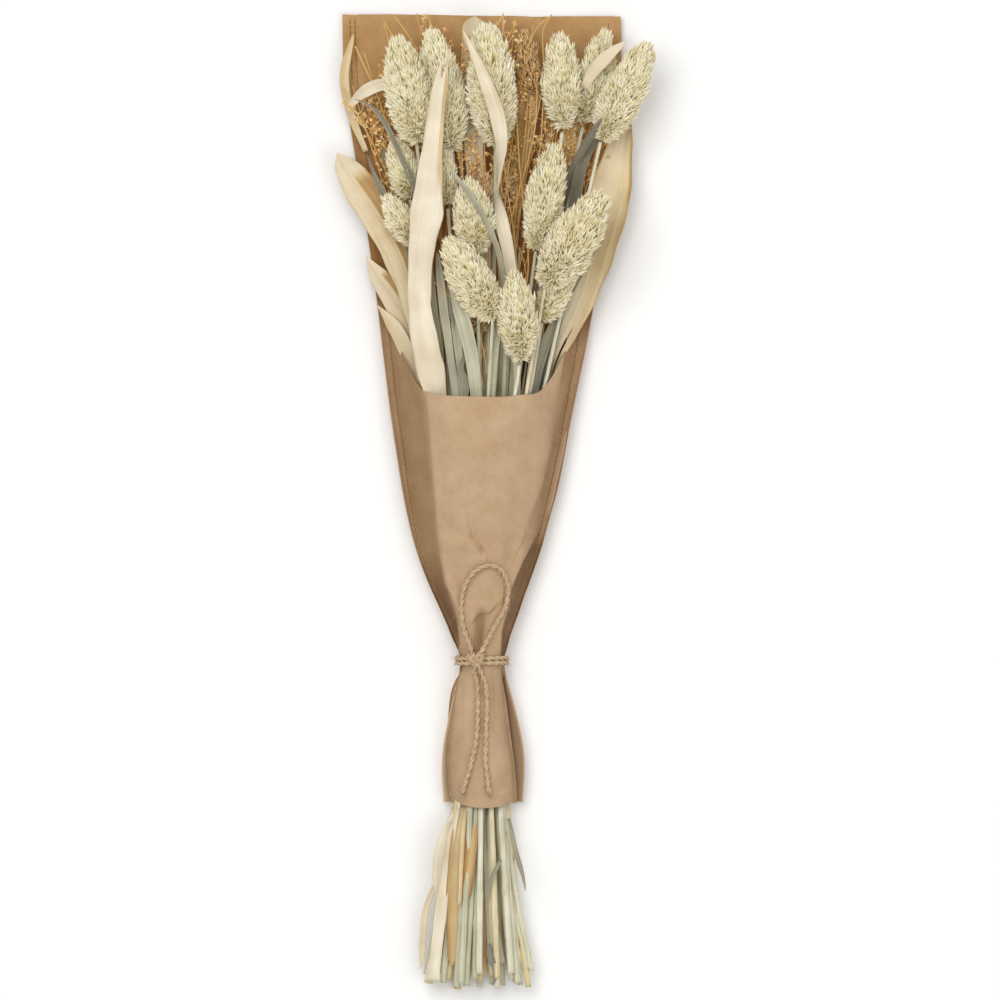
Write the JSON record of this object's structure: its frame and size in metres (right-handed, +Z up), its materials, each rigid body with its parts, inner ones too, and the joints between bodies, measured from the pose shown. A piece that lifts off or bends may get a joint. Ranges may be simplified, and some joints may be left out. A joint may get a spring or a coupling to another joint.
{
  "type": "dried flower bouquet",
  "caption": "Dried bouquet of canary-grass heads, husk leaves and statice in a kraft-paper sleeve tied with jute twine, lying on its back.",
  "frame": {"origin": "on the surface that the bouquet lies on, under the middle of its outline", "axes": "+Y along the bouquet from the cut ends to the flowers, +Z up from the surface, +X to the right seen from above"},
  "size_m": [0.1789, 0.5482, 0.0699],
  "materials": {
    "kraft_front": "matte",
    "kraft_back": "matte",
    "twine": "matte",
    "head": "matte",
    "stem": "matte",
    "spike": "matte",
    "statice": "matte",
    "cream_leaf": "satin",
    "grey_blade": "matte"
  },
  "bodies": {
    "root": {"paper_back": "kraft_back", "paper_front": "kraft_front", "twine_tie": "twine", "twine_loop": "twine", "twine_tail_left": "twine", "twine_tail_right": "twine", "stem_top_left": "stem", "head_top_left": "head", "stem_top_left_inner": "stem", "head_top_left_inner": "head", "stem_top_centre": "stem", "head_top_centre": "head", "stem_top_right": "stem", "head_top_right": "head", "stem_top_right_back": "stem", "head_top_right_back": "head", "stem_far_right": "stem", "head_far_right": "head", "stem_left_slim": "stem", "head_left_slim": "head", "stem_left_low": "stem", "head_left_low": "head", "stem_middle": "stem", "head_middle": "head", "stem_right_upper": "stem", "head_right_upper": "head", "stem_right_front": "stem", "head_right_front": "head", "stem_front_left": "stem", "head_front_left": "head", "stem_front_centre": "stem", "head_front_centre": "head", "stem_right_low": "stem", "head_right_low": "head", "stem_slim_left": "stem", "head_slim_left": "head", "spike_centre": "spike", "spike_low": "spike", "spike_top": "spike", "statice_left": "statice", "statice_centre": "statice", "statice_right": "statice", "leaf_front_left": "cream_leaf", "leaf_centre_twisted": "cream_leaf", "leaf_right_broad": "cream_leaf", "leaf_left_arched": "cream_leaf", "leaf_tall_back": "cream_leaf", "leaf_left_lower": "cream_leaf", "leaf_left_curl": "cream_leaf", "blade_right_dark": "grey_blade", "blade_left_arched": "grey_blade", "blade_left_back": "grey_blade", "blade_left_side": "grey_blade", "blade_centre_silver": "grey_blade", "blade_right_low": "grey_blade", "blade_left_wide": "grey_blade", "blade_sheath": "grey_blade"}
  },
  "joints": []
}
